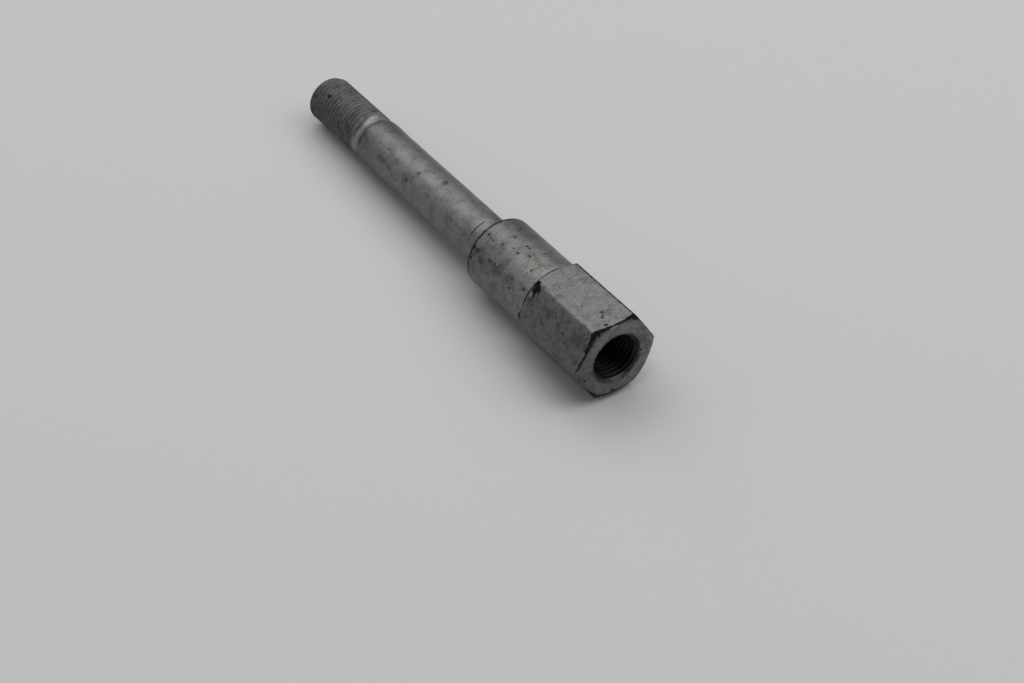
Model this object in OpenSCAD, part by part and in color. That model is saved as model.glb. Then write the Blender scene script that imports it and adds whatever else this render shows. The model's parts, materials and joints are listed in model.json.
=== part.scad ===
// Shock mounting bolt: one bar of steel, turned along its length and milled to a hexagon at one end.
// From its tip it has a fine male thread, a thread relief, a plain shank, a larger round collar and a
// hexagon, whose end is drilled and tapped with the same fine thread. The bolt lies on its side, as it
// comes to rest, with its length along X and its hexagon towards +X.

/* [Male thread] */
// Nominal size of the metric fine thread at both ends
thread_size = 12; // [8:1:16]
// Pitch of that thread
thread_pitch = 1.25; // [0.5:0.25:2]
// How far the crests of the male thread lie under the nominal size, on the diameter
thread_allowance = 0.12; // [0:0.02:0.3]
// Length of the thread, from the tip to the relief
thread_len = 20.2; // [5:0.1:60]

/* [Thread relief] */
// Width of the relief, with its rise to the shank
relief_w = 3; // [1.5:0.1:6]
// Depth of the relief under the crests of the thread
relief_depth = 0.5; // [0.2:0.05:1]

/* [Shank] */
// Diameter of the plain shank
shank_d = 12; // [8:0.1:17]
// Length of the shank, from the relief to the collar
shank_len = 52.8; // [20:0.1:100]
// Length of the ground undercut where the shank meets the collar
undercut_w = 5.2; // [1:0.1:8]
// Depth of that undercut, on the radius
undercut_depth = 0.12; // [0.02:0.01:0.4]
// Length of the slope that leads down into the undercut
undercut_lead = 0.6; // [0.1:0.1:0.9]

/* [Collar] */
// Diameter of the round collar
collar_d = 18; // [13:0.1:30]
// Length of the collar, up to the hexagon
collar_len = 22.4; // [5:0.1:50]
// Radius of the round along the collar's edge
collar_edge = 0.3; // [0.1:0.05:1.2]

/* [Hexagon] */
// Width of the hexagon across its flats
hex_af = 19; // [15:0.1:36]
// Length of the hexagon
hex_len = 23.45; // [10:0.05:50]
// Angle of the turned chamfers at both ends of the hexagon
hex_chamfer = 30; // [15:1:40]
// Width of the flat ring between the collar and the rear chamfer
rear_land = 0.15; // [0.05:0.05:1]
// How far the circle round the front face lies inside the flats
front_inset = 0.5; // [0:0.05:1.2]

/* [Tapped hole] */
// Depth of the drilled hole, without its point
hole_depth = 25; // [8:0.5:60]
// How far the countersink at the mouth opens past the nominal size, on the diameter
mouth_over = 0.6; // [0.1:0.1:2]
// Angle of the drill's point
drill_point = 118; // [90:1:140]

/* [Hidden] */

// Sides that a full round is drawn with
$fn = 96;
// Turn of the round outline about its axis, which keeps its seam off the line that the bolt lies on
seam_turn = 3;
// Steps in a quarter round
round_steps = 6;
// How far a cut runs past the face that it opens
over = 1;

// Depths of a metric thread as shares of its pitch: outside thread to its root, and hole to its crest
male_depth = 0.6134 * thread_pitch;
female_depth = 0.5413 * thread_pitch;

// Radii, from the tip to the hexagon
thread_r = (thread_size - thread_allowance) / 2;
tip_r = thread_r - male_depth;
relief_r = thread_r - relief_depth;
shank_r = shank_d / 2;
undercut_r = shank_r - undercut_depth;
collar_r = collar_d / 2;
corner_r = hex_af / sqrt(3);

// Stations along the axis, measured from the tip
tip_end = thread_r - tip_r;
relief_at = thread_len;
relief_rise = min(abs(shank_r - relief_r), (relief_w - relief_depth) / 2);
shank_at = relief_at + relief_w;
collar_at = shank_at + shank_len;
undercut_at = collar_at - undercut_w;
hex_at = collar_at + collar_len;
bolt_len = hex_at + hex_len;

// The hole: its wall is the crest of the inner thread, its mouth a 45 degree countersink
hole_r = thread_size / 2 - female_depth;
mouth_r = (thread_size + mouth_over) / 2;
mouth_depth = mouth_r - hole_r;
point_len = hole_r / tan(drill_point / 2);

// The circles where the two chamfers leave the end faces of the hexagon
front_r = hex_af / 2 - front_inset;
rear_r = collar_r + rear_land;

// At rest the bolt leans on its tip and on the first edge that its heavier end puts down
function lean(at, r) = atan((r - thread_r) / (at - tip_end));
flat_at = hex_at + max(0, hex_af / 2 - rear_r) * tan(hex_chamfer);
tilt = max(lean(collar_at + collar_edge, collar_r), lean(flat_at, hex_af / 2), lean(shank_at, shank_r));
rest_z = thread_r * cos(tilt) - tip_end * sin(tilt);
rest_x = -(bolt_len * cos(tilt) + (front_r - tip_r) * sin(tilt)) / 2;

// A quarter round of radius r that turns from facing back to facing out, about the centre [cr, cz]
function quarter_round(cr, cz, r) =
    [for (i = [0:round_steps]) let (a = 90 * i / round_steps) [cr + r * sin(a), cz - r * cos(a)]];

// Outline of everything turned, as radius and station, from the centre of the tip to the hexagon
turned_outline = concat(
    [[0, 0], [tip_r, 0], [thread_r, tip_end], [thread_r, relief_at]],
    [[relief_r, relief_at + relief_depth], [relief_r, shank_at - relief_rise]],
    [[shank_r, shank_at], [shank_r, undercut_at]],
    [[undercut_r, undercut_at + undercut_lead], [undercut_r, collar_at]],
    quarter_round(collar_r - collar_edge, collar_at + collar_edge, collar_edge),
    [[collar_r, hex_at + over], [0, hex_at + over]]
);

module turned_body() {
    rotate_extrude() polygon(turned_outline);
}

// A hexagon whose corners are turned off at both ends, so that each flat ends in an arc
module chamfered_hexagon() {
    past_r = max(corner_r, rear_r) + over;
    rear_run = (past_r - rear_r) * tan(hex_chamfer);
    front_run = (past_r - front_r) * tan(hex_chamfer);
    intersection() {
        linear_extrude(hex_len) circle(r = corner_r, $fn = 6);
        rotate_extrude() polygon([
            [0, 0], [rear_r, 0], [past_r, rear_run],
            [past_r, hex_len - front_run], [front_r, hex_len], [0, hex_len]
        ]);
    }
}

// The drilled hole, from its mouth at z = 0 down to its point
module tapped_hole() {
    rotate_extrude() polygon([
        [0, -hole_depth - point_len], [hole_r, -hole_depth], [hole_r, -mouth_depth],
        [mouth_r + over, over], [0, over]
    ]);
}

// The bolt on end: its tip at the origin and its axis along +Z, with two flats facing along X
module upright_bolt() {
    difference() {
        union() {
            rotate([0, 0, seam_turn]) turned_body();
            translate([0, 0, hex_at]) rotate([0, 0, 30]) chamfered_hexagon();
        }
        translate([0, 0, bolt_len]) tapped_hole();
    }
}

module mounting_bolt() {
    color("darkgray")
        translate([rest_x, 0, rest_z]) rotate([0, 90 - tilt, 0]) upright_bolt();
}

mounting_bolt();
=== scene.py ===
# %% [markdown]
# # A shock mounting bolt
# The real bolt looks like one bar of zinc-coated steel. Most of it is round, as work from a lathe is:
# a fine thread, a thread relief, a plain shank and a collar. The other end is a hexagon, drilled and
# tapped. This lesson makes the same bolt as one closed mesh, around a plain model of it that MuJoCo
# uses for its collisions. That plain model is the frame: it says where everything is.

# %% Load the frame
import json
import math

import bmesh
import bpy
from mathutils import Matrix, Vector


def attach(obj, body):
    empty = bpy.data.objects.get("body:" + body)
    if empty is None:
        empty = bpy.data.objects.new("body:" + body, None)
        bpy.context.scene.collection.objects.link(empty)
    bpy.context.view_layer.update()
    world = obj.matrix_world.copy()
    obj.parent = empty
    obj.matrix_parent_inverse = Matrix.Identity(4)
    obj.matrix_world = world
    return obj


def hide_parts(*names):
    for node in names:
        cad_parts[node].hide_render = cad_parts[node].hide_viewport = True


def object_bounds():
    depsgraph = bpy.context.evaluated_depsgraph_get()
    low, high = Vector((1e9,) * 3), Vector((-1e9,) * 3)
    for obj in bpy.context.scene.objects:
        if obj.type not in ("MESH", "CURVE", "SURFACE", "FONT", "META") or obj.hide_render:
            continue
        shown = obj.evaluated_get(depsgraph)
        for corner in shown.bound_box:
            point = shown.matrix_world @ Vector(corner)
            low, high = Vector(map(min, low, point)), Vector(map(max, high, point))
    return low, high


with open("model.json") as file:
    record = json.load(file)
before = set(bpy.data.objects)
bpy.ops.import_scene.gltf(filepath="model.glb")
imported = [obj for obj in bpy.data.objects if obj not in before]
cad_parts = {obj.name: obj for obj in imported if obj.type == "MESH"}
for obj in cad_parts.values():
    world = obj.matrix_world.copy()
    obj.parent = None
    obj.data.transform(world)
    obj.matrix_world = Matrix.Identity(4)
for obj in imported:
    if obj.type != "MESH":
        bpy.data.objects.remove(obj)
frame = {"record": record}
cad_low, cad_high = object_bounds()
print("the plain bolt fills", [round(v, 5) for v in (*cad_low, *cad_high)])

# %% [markdown]
# ## Measure the bolt
# Nobody measures a real bolt from the corner of the bench. A machinist measures along its axis, from
# the tip. The bolt lies a little aslant, because it rests on its tip and on the edge of its collar,
# so the first step finds that axis. Each place where something fastens to the bolt is a mount, and
# the frame's record gives its point, its axis and its size. The rest of this lesson works in the
# bolt's own millimetres: a station along the axis, and a radius out from it.

# %% Find the axis, the tip and the stations
MM = 0.001
HALF_FLAT = math.radians(30)  # angle from the middle of a flat to its corner
PITCH = 1.25  # mm from one thread to the next
OUTER_THREAD_DEPTH = 0.6134 * PITCH  # these two shares hold for every metric thread
INNER_THREAD_DEPTH = 0.5413 * PITCH

mounts = {mount["name"]: mount for mount in frame["record"]["mounts"]}


def size(mount, what):
    """A mount's radius or length, in millimetres."""
    return mounts[mount]["dims"][what + "_mm"]


axis = Vector(mounts["tapped_hole"]["axis"])
lean = math.asin(axis.z)
thread_r = size("male_thread", "r")
tip_r = thread_r - OUTER_THREAD_DEPTH
tip = Vector(mounts["male_thread"]["pos_m"]) - axis * MM * (
    OUTER_THREAD_DEPTH + size("male_thread", "length") / 2
)


def station(mount, share=0.0):
    """How far along the axis a mount's middle is, or its end where share is -0.5 or 0.5."""
    middle = (Vector(mounts[mount]["pos_m"]) - tip).dot(axis) / MM
    return middle + share * mounts[mount]["dims"].get("length_mm", 0)


thread_end = station("male_thread", 0.5)
shank_at, shank_end = station("shank", -0.5), station("shank", 0.5)
collar_at, hexagon_at = station("collar_shoulder"), station("collar", 0.5)
bolt_end = station("hexagon_face")
wall_top, wall_bottom = station("tapped_hole", 0.5), station("tapped_hole", -0.5)
shank_r, collar_r, hole_r = size("shank", "r"), size("collar", "r"), size("tapped_hole", "r")
half_flats = (cad_high[1] - cad_low[1]) / MM / 2 * math.cos(HALF_FLAT)
print(f"lean {math.degrees(lean):.2f} degrees, length {bolt_end:.2f} mm, flats {2 * half_flats:.2f} mm")
print(f"thread ends {thread_end:.2f}, shank {shank_at:.2f} to {shank_end:.2f}")
print(f"collar {collar_at:.2f}, hexagon {hexagon_at:.2f}, hole's wall {wall_bottom:.2f}")

# %% [markdown]
# ## A small language for node trees
# Both the shape and the finish are made with nodes. Placing nodes by hand in code is hard to read,
# so two small classes hide it. The first is a `Wire`, one value on its way through a tree. Adding or
# multiplying wires adds the Math nodes, so a sum in the code reads as it would on paper.

# %% Make a wire
class Wire:
    """One value in a node tree. Sums on wires add Math nodes to the tree."""

    def __init__(self, bench, socket):
        self.bench, self.socket = bench, socket

    def maths(self, operation, *values):
        """This value, and up to two more, through one Math node."""
        places = dict(enumerate((self, *values)))
        return self.bench.node("ShaderNodeMath", {"operation": operation}, places)

    def __add__(self, other):
        return self.maths("ADD", other)

    def __radd__(self, other):
        return self + other

    def __sub__(self, other):
        return self.maths("SUBTRACT", other)

    def __rsub__(self, other):
        return self * -1 + other

    def __mul__(self, other):
        return self.maths("MULTIPLY", other)

    def __rmul__(self, other):
        return self * other

    def __truediv__(self, other):
        return self.maths("DIVIDE", other)

    def __pow__(self, other):
        return self.maths("POWER", other)

    def least(self, other):
        """The smaller of two values."""
        return self.maths("MINIMUM", other)

    def most(self, other):
        """The larger of two values."""
        return self.maths("MAXIMUM", other)

    def ramp(self, low, high):
        """0 below low and 1 above high, with a smooth rise between. high may be the lower one."""
        values = {"Value": self, "From Min": low, "From Max": high}
        return self.bench.node("ShaderNodeMapRange", {"interpolation_type": "SMOOTHSTEP"}, values)


print("a wire knows:", ", ".join(name for name in vars(Wire) if name[0] != "_"))

# %% [markdown]
# ## A bench to put nodes on
# The second class is a `Bench`, a tree to work on. Its one method adds a node of any kind. The
# settings have to come first, because some of them change which sockets a node has.

# %% Make a bench
class Bench:
    """A node tree to work on."""

    def __init__(self, tree):
        self.tree = tree

    def node(self, kind, settings=None, values=None, out=0):
        """Adds a node of any kind: its settings first, then the value or wire of each socket."""
        node = self.tree.nodes.new(kind)
        for name, setting in (settings or {}).items():
            setattr(node, name, setting)
        for name, value in (values or {}).items():
            if isinstance(value, Wire):
                self.tree.links.new(value.socket, node.inputs[name])
            else:
                node.inputs[name].default_value = value
        return Wire(self, node.outputs[out]) if len(node.outputs) else None


print("a bench knows:", ", ".join(name for name in vars(Bench) if name[0] != "_"))

# %% [markdown]
# ## The recipe: one row for each ring of the surface
# A turned part is an outline swept round an axis. The outline here is a list of rows, from the
# middle of the tip, along the outside, in at the far end and down to the bottom of the hole. Each
# row is a station and a radius, plus what makes it more than a plain ring: how far it is pulled out
# to the hexagon, how it leans with the radius on the chamfers, and how it climbs along a thread.

# %% Rows for what is turned
FAR = 500.0  # mm, a limit so far off that it changes nothing
PLAIN = {
    "station": 0.0, "radius": 0.0, "plain": 0.0,  # plain is the radius with the thread faded out
    "climb": 0.0, "low": -FAR, "high": FAR, "run_out": -FAR,  # the helix and its limits
    "cone": FAR, "side": 1.0,  # the chamfer that cuts across a thread: inside it, or outside it
    "hexagon": 0.0, "slope": 0.0,  # pull towards the hexagon, and lean of a chamfer
    "chip": 0.0, "grime": 0.0,  # how ragged an edge is, and how much dirt and painted shade darken it
    "tone": 1.0, "dull": 0.0,  # how bright the plating is, with painted shade and a painted highlight in some rows, and how matt
}
rows = []
print("each row holds", ", ".join(PLAIN))


def add_row(station_mm, radius, **extra):
    """One more row of the recipe. What isn't given stays plain."""
    rows.append({**PLAIN, "station": station_mm, "radius": radius, "plain": radius, **extra})


def turn_to(station_mm, radius, tone=1.0, spacing=0.36, **extra):
    """Evenly spaced rows on a straight line from the last row, with the tone changing evenly too."""
    first_s, first_r, first_tone = (rows[-1][key] for key in ("station", "radius", "tone"))
    count = max(1, round(math.hypot(station_mm - first_s, radius - first_r) / spacing))
    for i in range(1, count + 1):
        share = i / count
        add_row(
            first_s + (station_mm - first_s) * share, first_r + (radius - first_r) * share,
            tone=first_tone + (tone - first_tone) * share, **extra
        )


# %% [markdown]
# ## Threads climb
# A metric thread has a flat crest, straight flanks and a flat root. If the rings of the mesh stayed
# square to the axis, the crest would come out as a staircase. Here each row follows the helix
# instead: it climbs one pitch in one turn, so that the end of a row meets the start of a later one.
# The limits hold it within the threaded length, and merging doubles later closes the surface.

# %% Rows for the two threads
THREAD_SHAPE = (  # share of a pitch, and depth as a share of the full depth
    (0.0, 0.06), (0.0625, 0.0), (0.125, 0.06), (0.28, 0.5),
    (0.4375, 0.95), (0.5625, 1.0), (0.6875, 0.95), (0.845, 0.5),
)
print(f"a pitch is {PITCH} mm, and the thread is {OUTER_THREAD_DEPTH:.3f} mm deep")


def wind_thread(low, high, crest, depth, run_out, **extra):
    """Rows that follow a helix from low to high. A negative depth cuts outwards, as a tap does."""
    turns = math.ceil((high - low) / PITCH) + 1
    climbing = [(turn + share) * PITCH for turn in range(turns) for share, _ in THREAD_SHAPE]
    depths = [depth * cut for _, cut in THREAD_SHAPE] * turns
    outside = depth > 0
    if outside:
        begin, direction = low - PITCH, 1
    else:
        begin, direction = high, -1
    for along, cut in zip(climbing, depths):
        add_row(
            begin + direction * along, crest - cut, plain=crest, climb=PITCH,
            low=low, high=high, run_out=run_out, **extra
        )
    print(f"{'male' if outside else 'tapped'} thread: {turns - 1} turns, {len(climbing)} rows")


# %% [markdown]
# ## From the tip to the collar
# The tip is a flat disc. The thread starts in its chamfer and fades out into the relief, as a rolled
# thread does. There is a low lip where the shank begins. For its last few millimetres the shank is
# slightly thinner, like one that is ground there so that whatever slides on it seats square.

# %% Write the rows of the turned end
RELIEF_DEPTH, RELIEF_END = 0.5, 0.55  # the thread relief, and the slope from it to the shank
UNDERCUT, UNDERCUT_LEAD = 0.12, 0.6  # depth of the undercut, and the slope into it
BRIGHT, HOLE_SHADE = 1.7, 0.09  # how bright the plating is in the relief, partly smoother metal and partly a painted highlight, and painted shade inside the hole
BRIGHT_END, SHADY_START = 0.9, 0.3  # where that bright ring ends, and where the painted shade before the shank starts
LIP = 0.13  # height of the lip where the shank begins
LIP_ROWS = (  # station past the start of the shank, height as a share of the lip, tone and painted shade; the low tones there are painted shade too
    (0.8, 0.8, 0.66, 0.25), (2.2, 1.0, 0.74, 0.0), (4.6, 0.3, 0.8, 0.0),
    (7.0, 0.0, 0.88, 0.0), (14.0, 0.0, 1.0, 0.0),
)
ROUND_STEPS, DIRTY_EDGE = 4, 0.25  # rows round the edge of the collar, and the dirt behind it
COLLAR_TONES = ((10, 0.9), (16, 1.02))  # station past the start of the collar, and tone
collar_round = station("collar", -0.5) - collar_at
relief_r, undercut_r = thread_r - RELIEF_DEPTH, shank_r - UNDERCUT

add_row(0, 0, dull=1.0, tone=0.8)
turn_to(0, tip_r, spacing=0.9, dull=1.0, tone=0.8, grime=0.3)
wind_thread(0, thread_end, thread_r, OUTER_THREAD_DEPTH, thread_end, cone=tip_r, dull=1.0)
add_row(thread_end, thread_r, dull=1.0)
# the relief is brighter: partly smoother metal, partly a painted highlight
turn_to(thread_end + RELIEF_DEPTH, relief_r, BRIGHT, spacing=0.25)
turn_to(thread_end + BRIGHT_END, relief_r, BRIGHT)
# painted shade: the slope up to the shank and the start of the shank are darker
turn_to(shank_at - RELIEF_END - SHADY_START, relief_r, 0.9)
turn_to(shank_at - RELIEF_END, relief_r, 0.45, grime=0.3)
turn_to(shank_at, shank_r, 0.5, spacing=0.25, grime=0.4)
for past, height, tone, dirt in LIP_ROWS:
    turn_to(shank_at + past, shank_r + LIP * height, tone, grime=dirt)
turn_to(shank_end, shank_r)
# painted shade on the step down to the seat; the finish keeps it on one stretch only
turn_to(shank_end + UNDERCUT_LEAD / 2, (shank_r + undercut_r) / 2, spacing=0.2, grime=0.7)
turn_to(shank_end + UNDERCUT_LEAD, undercut_r, spacing=0.2)
turn_to(collar_at, undercut_r, 0.95)
turn_to(collar_at, collar_r - collar_round, 0.82, spacing=0.5, grime=0.4)
for round_step in range(1, ROUND_STEPS + 1):
    turned = math.radians(90 * round_step / ROUND_STEPS)
    add_row(
        collar_at + collar_round * (1 - math.cos(turned)),
        collar_r - collar_round * (1 - math.sin(turned)), grime=0.95, tone=0.82
    )
turn_to(collar_at + collar_round + DIRTY_EDGE, collar_r, 0.84, spacing=0.13, grime=0.58)
for past, tone in COLLAR_TONES:
    turn_to(collar_at + past, collar_r, tone)
turn_to(hexagon_at, collar_r, 1.18)
print(len(rows), "rows up to the hexagon")

# %% [markdown]
# ## The hexagon
# Six flats are milled on a round head, and a lathe then turns off the corners at both ends. Each
# chamfer is a cone, and a cone meets a flat in an arc. A row that is pulled out to the hexagon and
# leans with its own radius runs exactly along that arc, so the edges of the arcs stay crisp.

# %% Write the rows of the hexagon and of the hole
CHAMFER = math.tan(math.radians(30))
REAR_LAND, FRONT_INSET = 0.15, 0.3  # land behind the rear chamfer, and face short of the flats
RIM_BREAK, RIM_WIDTH = 0.02, 0.2  # the rim of the face is broken by a hair
FLAT_ROWS, NICKED_ROWS = 66, 3  # rows along a flat, and how many of them are nicked at its front
EDGE_DIRT = {0: 0.55, FLAT_ROWS - 1: 0.35, FLAT_ROWS: 1.0}  # dirt on the end rows of a flat
FRONT_CHAMFER = ((0.85, 1.0), (0.65, 0.85), (0.45, 0.6), (0.2, 0.45))  # pull to the hexagon, dirt
THREADED_DEPTH, DRILL_POINT = 18.0, 118  # two guesses: the tap's depth, and the drill point's angle
rear_r, front_r = collar_r + REAR_LAND, half_flats - FRONT_INSET
mouth_r = hole_r + bolt_end - wall_top
rim_at = bolt_end - RIM_BREAK
rear_cone, front_cone = hexagon_at - rear_r * CHAMFER, rim_at + front_r * CHAMFER

# the rear chamfer is darkest where it meets the collar: painted shade with some dirt
for out in (0.0, 0.34, 0.67):
    add_row(rear_cone, rear_r, slope=CHAMFER, hexagon=out, grime=0.95 - out * 0.85, chip=out * 0.3)
for i in range(FLAT_ROWS + 1):
    passed = i / FLAT_ROWS
    near_edge = max(0.0, 1 - (1 - passed) * FLAT_ROWS / NICKED_ROWS)
    add_row(
        rear_cone + (front_cone - rear_cone) * passed, 0.0, hexagon=1.0,
        slope=CHAMFER * (1 - 2 * passed), chip=near_edge, grime=EDGE_DIRT.get(i, 0.0)
    )
for out, dirt in FRONT_CHAMFER:
    add_row(front_cone, front_r, slope=-CHAMFER, hexagon=out, grime=dirt, chip=0.6)
add_row(rim_at, front_r, grime=0.4)
turn_to(bolt_end, front_r - RIM_WIDTH, spacing=0.2, grime=0.1)
turn_to(bolt_end, mouth_r, spacing=0.6)
# painted shade darkens the whole hole
wind_thread(
    bolt_end - THREADED_DEPTH, bolt_end, hole_r, -INNER_THREAD_DEPTH, bolt_end - THREADED_DEPTH,
    cone=mouth_r - bolt_end, side=-1.0, tone=HOLE_SHADE
)
add_row(bolt_end - THREADED_DEPTH, hole_r, tone=HOLE_SHADE)
turn_to(wall_bottom, hole_r, HOLE_SHADE, spacing=2.0)
turn_to(wall_bottom - hole_r / math.tan(math.radians(DRILL_POINT / 2)), 0.0, HOLE_SHADE, spacing=1.4)
print(len(rows), "rows in all")

# %% [markdown]
# ## Turn the recipe into a mesh that nodes can read
# Geometry Nodes can't read a Python list, but they can read a mesh's attributes. So the recipe
# becomes a mesh of loose points, one for each row, with the row's values stored on it.

# %% Store the recipe as points


def new_object(name, data):
    """Makes an object and puts it in the scene."""
    thing = bpy.data.objects.new(name, data)
    bpy.context.scene.collection.objects.link(thing)
    return thing


def points_with_values(name, places, values):
    """A mesh of loose points in metres, with one float attribute for each named list."""
    mesh = bpy.data.meshes.new(name)
    mesh.from_pydata([[v * MM for v in place] for place in places], [], [])
    for attribute, numbers in values.items():
        mesh.attributes.new(attribute, "FLOAT", "POINT").data.foreach_set("value", numbers)
    return new_object(name, mesh)


recipe = points_with_values(
    "recipe", [(row["station"], row["radius"], 0) for row in rows],
    {name: [row[name] for row in rows] for name in PLAIN},
)
print(len(recipe.data.vertices), "points, each with", len(PLAIN), "values")

# %% [markdown]
# ## Scars that are where they are
# Random noise can't place the few marks that give this bolt its history: a pit in the thread, a row
# of dark specks on the collar, a bruised corner such as a slipping spanner leaves. So they are
# listed: a station, an angle from the top, a size, how dark the spot is (above 1 is a bruise, below
# 0 is bright, bare metal) and how deep it is sunk. The spots were picked by eye. Small programs
# outside this lesson helped to turn them into stations and angles, which were then rounded. Sizes,
# darkness and depth were chosen one by one.

# %% List the scars
SCARS = (  # station and angle, radius of the mark in mm, darkness, depth in mm
    # on the thread
    (6.0, 31, 0.75, 1.0, 0.3), (5.0, 71, 0.5, 0.7, 0.1), (1.9, 54, 0.6, 0.6, 0.0),
    # on the shank
    (23.7, 59, 0.7, 0.54, 0.0), (29.8, 31, 0.45, 0.34, 0.0), (33.4, 30, 0.45, 0.44, 0.05),
    (32.6, 57, 0.9, 0.32, 0.0), (34.4, 60, 1.0, 0.32, 0.0), (36.6, 62, 0.8, 0.26, 0.0),
    (44.0, 55, 0.65, 0.54, 0.05), (45.9, 25, 0.6, 0.48, 0.05), (46.8, 12, 0.5, 0.27, 0.0),
    (48.7, -2, 0.5, 0.34, 0.0), (53.3, -4, 0.85, 0.54, 0.05), (52.7, 48, 0.5, 0.41, 0.0),
    (63.0, 29, 0.4, 0.41, 0.0), (63.1, 52, 0.45, 0.41, 0.0), (65.4, 53, 0.4, 0.34, 0.0),
    (67.2, 53, 0.5, 0.41, 0.0), (67.3, 17, 0.35, 0.41, 0.0), (69.6, 25, 0.35, 0.27, 0.0),
    # on the seat before the collar
    (73.4, 24, 0.35, 0.6, 0.0), (74.1, 34, 0.35, 0.5, 0.0),
    # on the collar
    (76.4, 32, 0.45, 0.8, 0.0), (76.6, 53, 0.6, 1.1, 0.1), (78.3, 54, 0.7, 0.65, 0.0),
    (76.8, 69, 0.75, 0.75, 0.0), (77.8, 25, 0.38, 1.0, 0.1), (79.1, 27, 0.3, 0.9, 0.1),
    (80.3, 28, 0.34, 0.7, 0.05), (83.0, 1, 0.5, 0.7, 0.05), (82.9, 22, 0.35, 0.6, 0.0),
    (83.1, 52, 0.5, 0.7, 0.0), (84.8, 52, 0.5, 0.7, 0.0), (80.5, 62, 1.1, 0.5, 0.0),
    (86.4, 58, 1.2, 0.25, 0.0), (90.0, 55, 1.1, 0.25, 0.0), (85.9, 16, 0.38, 0.6, 0.0),
    (87.4, -1, 0.38, 0.9, 0.05), (88.5, -1, 0.38, 0.8, 0.05), (87.9, 17, 0.4, 0.9, 0.05),
    (90.6, 8, 0.4, 0.9, 0.05), (90.6, 1, 0.3, 0.7, 0.0), (91.7, -13, 0.4, 0.7, 0.0),
    (94.4, 23, 0.42, 0.8, 0.05), (91.6, 49, 0.4, 0.6, 0.0), (92.2, 63, 0.5, 0.7, 0.0),
    (96.2, 50, 0.5, 0.8, 0.05),
    # the bruised rear corner of the hexagon
    (99.8, 31, 0.9, 1.3, 0.45), (100.8, 35, 1.0, 1.2, 0.2), (100.2, 40, 0.9, 1.3, 0.2),
    (99.4, 47, 0.45, -0.9, 0.1), (100.1, 46, 0.6, 1.2, 0.15), (99.9, 54, 0.9, 0.5, 0.0),
    (101.9, 29, 0.7, 0.5, 0.0),
    # on the flats
    (104.9, 51, 0.35, 0.6, 0.0), (101.7, 65, 0.35, 0.5, 0.0), (110.5, 53, 0.4, 0.6, 0.0),
    (112.9, 58, 0.4, 0.7, 0.0), (103.7, 13, 0.5, 0.35, 0.0), (102.9, -5, 0.5, 0.3, 0.0),
    (112.1, 13, 0.35, 0.7, 0.05), (116.5, 0, 0.4, 0.9, 0.05), (118.0, 6, 0.4, 0.9, 0.1),
    (115.5, 8, 0.35, 0.4, 0.0),
    # on the front edges and the face
    (120.4, 10, 0.5, 1.0, 0.1), (120.6, 30, 0.3, -0.5, 0.15), (121.3, 44, 0.4, 1.0, 0.1),
    (121.3, 55, 0.55, 1.2, 0.2), (121.8, -97, 0.4, 1.0, 0.15), (121.8, -165, 0.4, 0.9, 0.1),
    (121.8, -150, 0.35, 0.8, 0.1), (121.8, 105, 0.4, 0.8, 0.0), (121.8, 171, 0.6, 0.7, 0.0),
)
print(len(SCARS), "scars, the darkest of darkness", max(darkness for *_, darkness, _ in SCARS))

# %% [markdown]
# ## Put each scar on the skin
# The list says where a scar is along and round the bolt, but not how far it is from the axis. The
# skin of the new bolt gives that: the round parts have one radius each, and a flat of the hexagon
# is nearest the axis in its middle. Like the recipe, the scars become loose points with values.

# %% Store the scars as points
FACE_LAYER = 0.2  # a scar that is this close to the end lies on the front face
FROM_MOUTH, FROM_RIM = 0.2, 0.7  # there it lies this far from the hole's mouth or from the rim
RIM_FROM, RIM_TO = 100, 180  # from the rim between these angles, from the mouth elsewhere


def skin_radius(along, angle):
    """Radius of the plain bolt's skin at a station, and towards an angle from the top."""
    if along > bolt_end - FACE_LAYER:
        return half_flats - FROM_RIM if RIM_FROM < angle < RIM_TO else mouth_r + FROM_MOUTH
    if along > hexagon_at:
        from_middle = (angle + 30) % 60 - 30
        return half_flats / math.cos(math.radians(from_middle))
    return collar_r if along > collar_at else shank_r if along > shank_at else thread_r


scars = points_with_values(
    "scars",
    [
        (along, -skin_radius(along, angle) * math.sin(math.radians(angle)),
         skin_radius(along, angle) * math.cos(math.radians(angle)))
        for along, angle, *_ in SCARS
    ],
    {name: [scar[at] for scar in SCARS] for name, at in (("size", 2), ("dark", 3), ("sunk", 4))},
)
print("scars from station", min(scar[0] for scar in SCARS), "to", max(scar[0] for scar in SCARS))

# %% [markdown]
# ## Sweep the recipe round the axis
# The tree starts from a flat grid with one line of points for each row of the recipe. Each point
# asks its own index which row and which column it is in, looks that row's values up, and moves to
# its place. Lines of points are closest at the six corners of the hexagon, where the shape turns
# fastest. Where a rounded maximum is taken of two flats, the corner between them comes out worn.

# %% Start the tree
COLUMNS = 144
NUDGE = 0.0001  # keeps rounding from dropping a point into the row before
ROUND = 2 * math.pi  # one full turn
CROWDING = 0.7  # 0 spaces the columns evenly, and 1 would stack them at the corners


def node_group(name, sockets):
    """A new Geometry Nodes group, with a bench to build on and a wire from each of its inputs."""
    tree = bpy.data.node_groups.new(name, "GeometryNodeTree")
    for socket, kind in sockets.items():
        tree.interface.new_socket(socket, in_out="INPUT", socket_type="NodeSocket" + kind)
    tree.interface.new_socket("Result", in_out="OUTPUT", socket_type="NodeSocketGeometry")
    bench = Bench(tree)
    entry = tree.nodes.new("NodeGroupInput")
    return bench, {socket: Wire(bench, entry.outputs[socket]) for socket in sockets}


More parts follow.
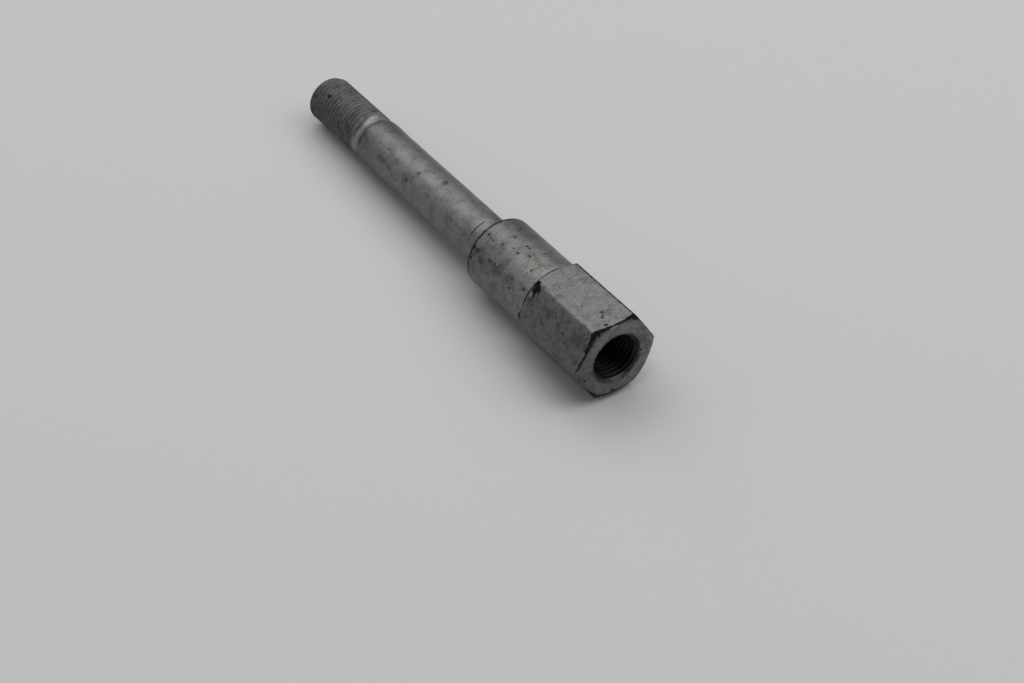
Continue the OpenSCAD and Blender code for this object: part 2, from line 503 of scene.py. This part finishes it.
bench, given = node_group("sweep a bolt", {
    "Recipe": "Geometry", "Scars": "Object", "Rows": "Int", "Columns": "Int", "Half flats": "Float",
    "Corner wear": "Float", "Chip size": "Float", "Fade length": "Float", "Unevenness": "Float",
    "Lean": "Float", "Tip": "Vector", "Plating": "Material",
})
scar_points = bench.node("GeometryNodeObjectInfo", None, {"Object": given["Scars"]}, "Geometry")


def look_up(source, name, at, kind="FLOAT"):
    """The value that a source's point with this index has stored under a name."""
    stored = bench.node("GeometryNodeInputNamedAttribute", {"data_type": kind}, {"Name": name})
    values = {"Geometry": source, "Value": stored, "Index": at}
    return bench.node("GeometryNodeSampleIndex", {"data_type": kind, "domain": "POINT"}, values)


grid = bench.node(
    "GeometryNodeMeshGrid", None, {"Vertices X": given["Rows"], "Vertices Y": given["Columns"] + 1}
)
index = bench.node("GeometryNodeInputIndex")
row = (index / (given["Columns"] + 1) + NUDGE).maths("FLOOR")
step = {name: look_up(given["Recipe"], name, row) for name in PLAIN}
print("each point looks up", len(step), "values of its row")

# %% [markdown]
# ## From a grid to a bolt
# Each point now works out where it belongs. Its column gives the angle, and its row the station.
# One flat of the hexagon is a straight line, so its distance from the axis is the half width over a
# cosine. The thread fades out near its end, and a chamfer is a cone that the surface may not cross.
# The side value turns that rule round inside the hole, where metal lies outside the surface.

# %% Find each point's angle, station and radius
turn = (index - row * (given["Columns"] + 1)) / given["Columns"]
theta = turn * ROUND - (turn * (6 * ROUND)).maths("SINE") * (CROWDING / 6)
from_corner = theta.maths("WRAP", HALF_FLAT, -HALF_FLAT)
one_flat = (from_corner - HALF_FLAT).maths("COSINE")
next_flat = (from_corner + HALF_FLAT).maths("COSINE")
reach = given["Half flats"] / one_flat.maths("SMOOTH_MAX", next_flat, given["Corner wear"])

climbed = (step["station"] + step["climb"] * theta / ROUND).most(step["low"]).least(step["high"])
faded = ((step["run_out"] - climbed).maths("ABSOLUTE") / given["Fade length"]).least(1.0)
threaded = step["plain"] + (step["radius"] - step["plain"]) * faded
chamfered = (threaded * step["side"]).least((climbed + step["cone"]) * step["side"]) * step["side"]
radius = chamfered + (reach - chamfered) * step["hexagon"]
leaning = climbed + step["slope"] * radius
across_corners = half_flats / math.cos(HALF_FLAT) * 2
print("half flats", round(half_flats, 3), "mm, across corners", round(across_corners, 3))

# %% [markdown]
# ## Wear comes last
# A used bolt differs from a new one only in small amounts: the edge of a chamfer is ragged, the
# skin isn't quite even, and some scars are dents. On the outside all of it is taken off, never
# added. Two things still stand out of the plain bolt by a tenth of a millimetre or so: the lip on
# the shank, and the front end of the hexagon, whose chamfer is smaller here. Each point also
# remembers the way to its nearest scar, which the finish turns into a spot finer than the mesh.

# %% Nicks, unevenness and dents


def vector_maths(operation, first, second=None, scale=None):
    """One Vector Math node."""
    values = {0: first, 1: second, "Scale": scale}
    values = {name: value for name, value in values.items() if value is not None}
    out = "Value" if operation == "LENGTH" else "Vector"
    return bench.node("ShaderNodeVectorMath", {"operation": operation}, values, out)


def on_the_bolt(along, out):
    """The point in metres at this station and radius, at the angle of its column."""
    parts = {"X": along, "Y": out * theta.maths("COSINE"), "Z": out * theta.maths("SINE")}
    return vector_maths("SCALE", bench.node("ShaderNodeCombineXYZ", None, parts), scale=MM)


def ragged(place, scale, detail=3.0):
    """Noise for the shape. A scale of 1 has about one bump in a millimetre."""
    values = {"Vector": place, "Scale": scale / MM, "Detail": detail}
    return bench.node("ShaderNodeTexNoise", None, values)


new_place = on_the_bolt(leaning, radius)
nearest = bench.node(
    "GeometryNodeSampleNearest", {"domain": "POINT"},
    {"Geometry": scar_points, "Sample Position": new_place},
)
scar_place = bench.node(
    "GeometryNodeSampleIndex", {"data_type": "FLOAT_VECTOR", "domain": "POINT"},
    {"Geometry": scar_points, "Value": bench.node("GeometryNodeInputPosition"), "Index": nearest},
)
scar = {name: look_up(scar_points, name, nearest) for name in ("size", "dark", "sunk")}
to_scar = vector_maths("SUBTRACT", new_place, scar_place)
from_scar = vector_maths("SCALE", to_scar, scale=(scar["size"] * MM).maths("POWER", -1.0))
how_far = vector_maths("LENGTH", from_scar)
nicked = (ragged(new_place, 0.9) - 0.5).least(0.0) * given["Chip size"] * step["chip"]
worn_station = leaning - nicked * step["slope"].maths("SIGN")
lumps = (ragged(new_place, 0.35, 4.0) - 0.75).least(0.0) * given["Unevenness"] * radius.least(1.0)
dent = how_far.ramp(1.6, 0.0) * scar["sunk"]
worn_place = on_the_bolt(worn_station, radius + lumps - dent * step["side"])
print("the deepest scar is", max(scar[4] for scar in SCARS), "mm deep")

# %% [markdown]
# ## Remember, close and lay down
# Some of what the tree knows is wanted again by the finish, such as where dirt gathers and how far
# the nearest scar is, so it is stored on the points under a name. Then the first and last columns,
# and the many points at the two poles, are merged, and the level bolt is tilted to lie aslant.

# %% Close the surface and lay the bolt down


def remember(geometry, name, value, kind="FLOAT"):
    """Stores a value on each point under a name, for the finish to read."""
    values = {"Geometry": geometry, "Name": name, "Value": value}
    return bench.node("GeometryNodeStoreNamedAttribute", {"data_type": kind, "domain": "POINT"}, values)


CORNER_LINE = (0.085, 0.02)  # angle from a corner where its dirt begins, and where it is full
COUNTERSUNK_TONE = 0.38  # painted shade: the countersink is darker than the face, and brighter than the hole
WELD = 0.004  # mm, points closer than this become one
countersunk = leaning.ramp(wall_top - 0.05, wall_top + 0.1)
at_corner = from_corner.maths("ABSOLUTE").ramp(*CORNER_LINE) * step["hexagon"]
swept = bench.node("GeometryNodeSetPosition", None, {"Geometry": grid, "Position": worn_place})
# the dirt and the painted shade that the rows hold, for the finish
swept = remember(swept, "grime", step["grime"])
swept = remember(swept, "tone", step["tone"].most(countersunk * COUNTERSUNK_TONE))
swept = remember(swept, "dull", step["dull"])
swept = remember(swept, "from_scar", from_scar, "FLOAT_VECTOR")
swept = remember(swept, "scar_far", how_far)
swept = remember(swept, "scar_dark", scar["dark"])
swept = remember(swept, "corner", at_corner)
closed = bench.node("GeometryNodeMergeByDistance", None, {"Geometry": swept, "Distance": WELD * MM})
turned_out = bench.node("GeometryNodeFlipFaces", None, {"Mesh": closed})
leant = bench.node("ShaderNodeCombineXYZ", None, {"Y": given["Lean"] * -1})
laid = bench.node(
    "GeometryNodeTransform", None,
    {"Geometry": turned_out, "Translation": given["Tip"], "Rotation": leant},
)
real = bench.node("GeometryNodeRealizeInstances", None, {"Geometry": laid})
dressed = bench.node("GeometryNodeSetMaterial", None, {"Geometry": real, "Material": given["Plating"]})
bench.node("NodeGroupOutput", None, {"Result": dressed})
print(len(bench.tree.nodes), "nodes in the tree")

# %% [markdown]
# ## The finish
# The bolt is taken to be zinc plated, with a plating that has gone dull and cloudy. Fine lines run
# round it as a lathe leaves them, slanting scuffs lie over them, dirt has settled in corners and on
# the chamfers where nothing wipes it off, and shade is painted in a few places. A finish like this
# is built in layers, from the metal up, and a few small helpers keep each layer to one line.

# %% Start the material
steel = bpy.data.materials.new("plated_steel")
steel.use_nodes = True
steel.node_tree.nodes.clear()
paint = Bench(steel.node_tree)


def grey(value, tint=(1.0, 1.0, 1.0)):
    """A grey, or a grey with a slight tint."""
    return (value * tint[0], value * tint[1], value * tint[2], 1.0)


def stored(name, out="Fac"):
    """What the points of the mesh remember under a name."""
    return paint.node("ShaderNodeAttribute", {"attribute_name": name}, out=out)


def noise(place, scale, detail=2.0, rough=0.5):
    """Noise for the finish, from 0 to 1 and mostly near 0.5."""
    values = {"Vector": place, "Scale": scale, "Detail": detail, "Roughness": rough}
    return paint.node("ShaderNodeTexNoise", None, values)


def blend(amount, first, second):
    """A mix of two colours."""
    return paint.node("ShaderNodeMix", {"data_type": "RGBA"}, {0: amount, 6: first, 7: second}, 2)


def brighten(colour, amount):
    """A colour times a number."""
    scaled = {0: colour, "Scale": amount}
    return paint.node("ShaderNodeVectorMath", {"operation": "SCALE"}, scaled)


print("the finish is called", steel.name)

# %% [markdown]
# ## Places in the bolt's own millimetres
# A pattern needs a place to start from. The finish uses the object's own coordinates, turned back
# along the axis and scaled to millimetres. Stretching that place stretches the pattern with it:
# squeezed along the axis it draws lathe lines round the bolt, and drawn out slantwise it scuffs.

# %% Measure places on the bolt
where = paint.node("ShaderNodeTexCoord", out="Object")
place = paint.node(
    "ShaderNodeMapping", {"vector_type": "TEXTURE"},
    {"Vector": where, "Location": tip, "Rotation": (0, -lean, 0), "Scale": (MM, MM, MM)},
)
parts = paint.node("ShaderNodeSeparateXYZ", None, {"Vector": place})
along, across, upward = (Wire(paint, socket) for socket in parts.socket.node.outputs)
ring_place = paint.node(
    "ShaderNodeCombineXYZ", None, {"X": along * 7, "Y": across * 0.2, "Z": upward * 0.2}
)
scuff_place = paint.node(
    "ShaderNodeMapping", None,
    {"Vector": place, "Rotation": (0.3, 0.2, 0.9), "Scale": (0.6, 6.0, 2.0)},
)
grain_place = paint.node(
    "ShaderNodeCombineXYZ", None, {"X": along * 1.5, "Y": across * 0.75, "Z": upward * 0.75}
)
print("the finish measures from the tip, at", [round(v * 1000, 2) for v in tip], "mm")

# %% [markdown]
# ## Zinc that has gone cloudy
# Old zinc isn't one grey. It has clouds some millimetres wide, a finer mottle in them, and specks
# finer still, so three sizes of noise are laid over each other. Where the clouds are darkest the
# zinc has stained, and on the shank it is more even than elsewhere. Three stretches get painted
# shade: the flats on the near side, the near side of the thread, and the far side of the seat and
# the collar next to it. They only match a tone that was seen there, and so do the tones of the
# recipe's rows; the painted shade would be wrong under another light.

# %% Layers of plating
STAINED, FLATS_SHADE, THREAD_SHADE, SEAT_SHADE = 0.5, 0.24, 0.2, 0.22  # how strong each layer is: the stains, and three stretches of painted shade
cloud = noise(place, 0.33, 4.0, 0.55)
patch = noise(grain_place, 1.15, 5.0, 0.62)
speck = noise(grain_place, 3.4, 4.0, 0.65)
lathe = noise(ring_place, 1.0, 3.0, 0.6)
scuff = noise(scuff_place, 0.9, 3.0, 0.6)
dark_zinc, pale_zinc = grey(0.166, (0.98, 1.0, 0.94)), grey(0.205, (0.965, 1.0, 0.985))
stained_zinc = grey(0.085, (0.99, 1.0, 0.91))
plating = blend(cloud.ramp(0.35, 0.65), dark_zinc, pale_zinc)
# the mottle, weaker on the shank
on_shank = along.ramp(shank_at, shank_at + 4.0) * along.ramp(collar_at, shank_end)
mottled = (patch - 0.5) * 1.4 + (speck - 0.5) * 1.7 + (scuff - 0.5) * 0.35
plating = brighten(plating, mottled * (on_shank * -0.22 + 1.0) + 1.0)
# the stains, where the clouds are darkest
stain = (cloud * 0.6 + patch * 0.4).ramp(0.485, 0.40)
plating = blend(stain * (on_shank * -0.2 + STAINED), plating, stained_zinc)
# the three stretches of painted shade
near_side = across * -1
flats_shade = along.ramp(hexagon_at, hexagon_at + 1.0) * near_side.ramp(4.0, 8.0) * FLATS_SHADE
thread_shade = along.ramp(thread_end + 0.5, thread_end - 1.0) * near_side.ramp(1.5, 5.5) * THREAD_SHADE
seat_shade = along.ramp(shank_end - 6.0, shank_end) * along.ramp(collar_at + 9.0, collar_at + 3.0)
seat_shade = seat_shade * across.ramp(0.0, 3.0) * SEAT_SHADE
plating = brighten(plating, stored("tone") * (1.0 - flats_shade - thread_shade - seat_shade))
print("zinc from", [round(v, 3) for v in dark_zinc[:3]], "to", [round(v, 3) for v in pale_zinc[:3]])

# %% [markdown]
# ## Dirt where nothing wipes, and painted shade
# Dirt stays in grooves, on chamfers and along corners, and painted shade is laid in with it. The
# rows of the recipe said how much of both lies where. Noise is added before the cut-off, so that
# both end in a ragged edge and not in a line. At the front the dirt is thickest on the side that
# faces up, and the underside is darkened as painted shade. The collar under the overhang of the
# hexagon is darkened most of all below and behind, as painted shade with some dirt. Where the shank
# steps down to its seat, painted shade darkens the step along one short stretch only.

# %% Dirt, painted shade, corners and pits
FRONT_DIRT = 3.5  # mm from the front end, where dirt and painted shade depend on the side
worn_end = along.ramp(bolt_end - FRONT_DIRT, bolt_end - FRONT_DIRT + 1.0)
# the front end: dirt thick on top, painted shade round the underside, thin elsewhere
front_dirt_and_shade = (across * -0.45 + upward * 0.9).ramp(3.5, 9.5).most(upward.ramp(-3.0, -7.0))
front_dirt_and_shade = front_dirt_and_shade.most((across * 0.45 + upward * 0.9).ramp(8.8, 10.2) * 0.8)
laid_dirt_and_shade = stored("grime") * (worn_end * (front_dirt_and_shade - 1.0) * 0.65 + 1.0)
# the step down to the seat: its painted shade is kept on one stretch only
at_seat_step = along.ramp(shank_end - 0.6, shank_end) * along.ramp(collar_at - 2.0, collar_at - 3.0)
seat_step_shade = across.ramp(0.5, -1.0) * upward.ramp(3.0, 4.6)
laid_dirt_and_shade = laid_dirt_and_shade * (at_seat_step * (seat_step_shade - 1.0) + 1.0)
# the six corners
corner_dirt = ((across + upward) * 0.7).ramp(2.0, 8.0).most(upward.ramp(3.0, -1.0) * 0.8) * 0.5
laid_dirt_and_shade = laid_dirt_and_shade.most(stored("corner") * corner_dirt)
# painted shade with some dirt on the collar under the hexagon, and painted shade on the lowest part of
# the rim
overhang = upward.ramp(3.0, -0.5) ** 2 * 1.2 + across.ramp(2.0, 5.5) ** 2 * 0.9 + 0.58
overhang_shade_and_dirt = (hexagon_at - along - overhang).ramp(0.1, -0.1)
overhang_shade_and_dirt = overhang_shade_and_dirt * along.ramp(hexagon_at + 0.1, hexagon_at)
laid_dirt_and_shade = laid_dirt_and_shade.most(overhang_shade_and_dirt * 0.95)
under_rim_shade = upward.ramp(-8.6, -9.0) * along.ramp(bolt_end - 1.0, bolt_end - 0.6)
laid_dirt_and_shade = laid_dirt_and_shade.most(under_rim_shade * 0.7)
# pits, and the torn edge of all the dirt and painted shade
pit = (patch * 0.35 + noise(place, 2.2, 2.0, 0.5) * 0.65).ramp(0.63, 0.665)
torn_edge = (patch - 0.5) * 1.3 + (speck - 0.5) * 0.5
dirt_and_shade_mask = ((laid_dirt_and_shade + torn_edge).ramp(0.33, 0.62) * (laid_dirt_and_shade * 4).least(1.0)).most(pit * 0.6)
print("dirt is thickest within", FRONT_DIRT, "mm of the front end")

# %% [markdown]
# ## Scars on top
# Every point of the mesh remembers the way to its nearest scar. The length of that way, with some
# noise added, gives a small dark spot with an uneven outline. A darkness above 1 is a bruise, which
# is nearly black. Where it is below 0 the zinc has been knocked off, and the spot is bright instead.

# %% Scars, and the base colour of all layers together
way = {0: stored("from_scar", "Vector")}
scar_edge = paint.node("ShaderNodeVectorMath", {"operation": "LENGTH"}, way, "Value")
scar_spot = (scar_edge + (speck - 0.5) * 2.2 + (patch - 0.5) * 1.6).ramp(1.15, 0.65)
scar_spot = scar_spot * stored("scar_far").ramp(3.0, 2.2)
scar_dark = stored("scar_dark")
dirt_and_shade_mask = dirt_and_shade_mask.most(scar_spot * scar_dark.most(0.0).least(1.0) * 0.93)
scraped = scar_spot * (scar_dark * -1).most(0.0)
# the dirt grey colours the painted shade as well
dirt, bruise, bare_metal = grey(0.022, (1.1, 1.0, 0.8)), grey(0.005), grey(0.32)
base = blend(dirt_and_shade_mask, plating, dirt)
base = blend(scar_spot * scar_dark.ramp(1.0, 1.3) * 0.85, base, bruise)
base = blend(scraped, base, bare_metal)
bright_scars = sum(darkness < 0 for _, _, _, darkness, _ in SCARS)
print("dark scars:", len(SCARS) - bright_scars, "bright ones:", bright_scars)

# %% [markdown]
# ## How it shines
# Dull zinc is a rough metal. Dirt and the painted shade laid in with it are rougher still, and so
# is the thread, which has lost most of its shine. Dirt and painted shade are treated as a very dark
# metal, which keeps them nearly black in strong light. The same noises make a low relief, so that
# light catches on the mottle and on the fine lines. One Principled shader takes all of it.

# %% Roughness, metal, relief and the shader
dull = stored("dull")
rough = (patch - 0.5) * 0.5 + (speck - 0.5) * 0.3 + 0.44
rough = rough + dirt_and_shade_mask.most(dull * 0.9) * 0.25 - scraped * 0.1
metal = (dull * -0.52 + 0.92).most(dirt_and_shade_mask)
relief = lathe * 0.35 + patch * 0.9 + speck * 0.35 + scuff * 0.2 - dirt_and_shade_mask * 0.5
bump = paint.node(
    "ShaderNodeBump", None, {"Strength": 0.35, "Distance": 0.06 * MM, "Height": relief}
)
shader = paint.node(
    "ShaderNodeBsdfPrincipled", None,
    {"Base Color": base, "Metallic": metal, "Roughness": rough, "Normal": bump},
)
paint.node("ShaderNodeOutputMaterial", None, {"Surface": shader})
print(len(steel.node_tree.nodes), "nodes in the finish")

# %% [markdown]
# ## Bake the bolt
# A modifier would work the tree out again on every change. The bolt is finished, so its mesh is
# taken once and kept, and the modifier goes. The numbers below set how worn it is: more corner wear
# rounds the hexagon, and more unevenness makes the round parts lumpy.

# %% Bake the mesh


def bake(name, source, tree, values):
    """Runs a tree on a source object and keeps the mesh that it makes."""
    maker = source.modifiers.new(name, "NODES")
    maker.node_group = tree
    inputs = [item for item in tree.interface.items_tree if item.in_out == "INPUT"]
    sockets = {item.name: item.identifier for item in inputs}
    for socket, value in values.items():
        maker[sockets[socket]] = value
    finished = source.evaluated_get(bpy.context.evaluated_depsgraph_get())
    made = bpy.data.meshes.new_from_object(finished)
    source.modifiers.clear()
    made.name = name
    return made


bolt_mesh = bake("mounting_bolt_turned", recipe, bench.tree, {
    "Scars": scars, "Rows": len(rows), "Columns": COLUMNS, "Half flats": half_flats,
    "Corner wear": 0.08, "Chip size": 1.5, "Fade length": 1.0, "Unevenness": 0.1,
    "Lean": lean, "Tip": tip, "Plating": steel,
})
for thing in (recipe, scars):
    bpy.data.objects.remove(thing)
bolt = new_object("mounting_bolt_turned", bolt_mesh)
bolt_mesh.set_sharp_from_angle(angle=math.radians(35))
print(len(bolt_mesh.vertices), "points,", len(bolt_mesh.polygons), "faces")

# %% [markdown]
# ## Is it closed?
# A closed mesh has two faces at every edge, and its volume comes out positive only if its faces
# look outwards. A hole or a turned face would show as a wrong number here, before it shows as a
# dark patch in the picture.

# %% Count the edges and the volume
counted = bmesh.new()
counted.from_mesh(bolt_mesh)
loose = sum(1 for edge in counted.edges if not edge.is_manifold)
print("edges that don't join two faces:", loose)
print("volume", round(counted.calc_volume(signed=True) / MM**3, 1), "mm3")
counted.free()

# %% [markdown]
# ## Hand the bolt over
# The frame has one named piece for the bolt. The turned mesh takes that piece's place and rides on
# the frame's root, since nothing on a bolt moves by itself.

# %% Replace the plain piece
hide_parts("mounting_bolt")
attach(bolt, "root")
print(bolt.name, "takes the place of mounting_bolt")

# %% [markdown]
# ## Somewhere to lie
# The bolt is shown on a sheet of pale paper. It is large enough to have no edge in sight, matt, and
# a little darker than white, so that the shadow under the bolt has something to be darker than.

# %% Lay the floor
floor_mesh = bpy.data.meshes.new("floor")
HALF_SHEET = 3
corners = [(x * HALF_SHEET, y * HALF_SHEET, 0) for x, y in ((-1, -1), (1, -1), (1, 1), (-1, 1))]
floor_mesh.from_pydata(corners, [], [(0, 1, 2, 3)])
floor = new_object("floor", floor_mesh)
paper = bpy.data.materials.new("pale_floor")
paper.use_nodes = True
surface = paper.node_tree.nodes["Principled BSDF"]
surface.inputs["Base Color"].default_value = grey(0.62)
surface.inputs["Roughness"].default_value = 0.9
floor_mesh.materials.append(paper)
print("the floor is", round(floor.dimensions.x, 1), "m wide")

# %% [markdown]
# ## Light from a tent
# Small metal parts are often lit in a tent of white cloth, since bare lamps would show as hot spots.
# Big round soft boxes on a dome do the same. They hang above, beside and behind the bolt and not in
# front of it, which puts a broad shine along its top and lets its near side fall into soft shade. A
# faint even glow stands for the walls of the tent, so that steel has something to reflect from
# every side. The powers are not this lesson's own: a least-squares fit gave them, and they are the
# average of two of its answers, rounded.

# %% Hang the soft boxes
world = bpy.data.worlds.new("studio")
bpy.context.scene.world = world
world.use_nodes = True
glow = world.node_tree.nodes["Background"]
glow.inputs["Color"].default_value = grey(1.0)
glow.inputs["Strength"].default_value = 0.15
SOFT_BOXES = (  # direction from +X and height above the floor in degrees, and power in watts
    (0, 82, 4.9), (45, 50, 5.9), (90, 50, 1.9), (135, 50, 3.5), (180, 50, 3.9), (225, 50, 1.7),
    (135, 22, 0.7), (180, 22, 2.3), (225, 22, 1.5),
)


def soft_light(azimuth, height, power, width=1.1, far=1.6):
    """A round soft box on the dome that faces the bolt."""
    turned, raised = math.radians(azimuth), math.radians(height)
    level = math.cos(raised)
    away = Vector((math.cos(turned) * level, math.sin(turned) * level, math.sin(raised)))
    lamp = bpy.data.lights.new(f"soft_box_{azimuth}_{height}", "AREA")
    lamp.shape, lamp.size, lamp.energy = "DISK", width, power
    thing = new_object(lamp.name, lamp)
    thing.location = away * far
    thing.rotation_euler = (-away).to_track_quat("-Z", "Y").to_euler()


for soft_box in SOFT_BOXES:
    soft_light(*soft_box)
print(len(SOFT_BOXES), "soft boxes,", round(sum(power for *_, power in SOFT_BOXES), 1), "W in all")

# %% [markdown]
# ## The camera
# A long lens from far off keeps the bolt's sides nearly parallel, as a maker's catalogue would. The
# camera is set by its three directions instead of by angles: right, up, and back to the viewer.
# These, its place and its lens came from a fit too, and were rounded. The plain view transform
# keeps the greys as they are lit, without a film's contrast.

# %% Set the camera
right = Vector((0.5597, 0.8289, -0.0105))
up = Vector((-0.5567, 0.3855, 0.7362))
back = right.cross(up).normalized()
seat = Vector((0.3932, -0.2471, 0.3966))
camera_data = bpy.data.cameras.new("camera")
camera_data.lens, camera_data.sensor_width = 91.4, 36.0
camera = new_object("camera", camera_data)
camera.matrix_world = Matrix.Translation(seat) @ Matrix((right, up, back)).transposed().to_4x4()
bpy.context.scene.camera = camera
bpy.context.scene.view_settings.view_transform = "Standard"
print("the camera is", round(seat.length, 3), "m from the middle of the bolt")

# %% [markdown]
# ## The box the bolt must fit
# The mesh that is looked at has to lie in the box of the plain one that MuJoCo collides with, or
# the bolt would seem to sink into things.
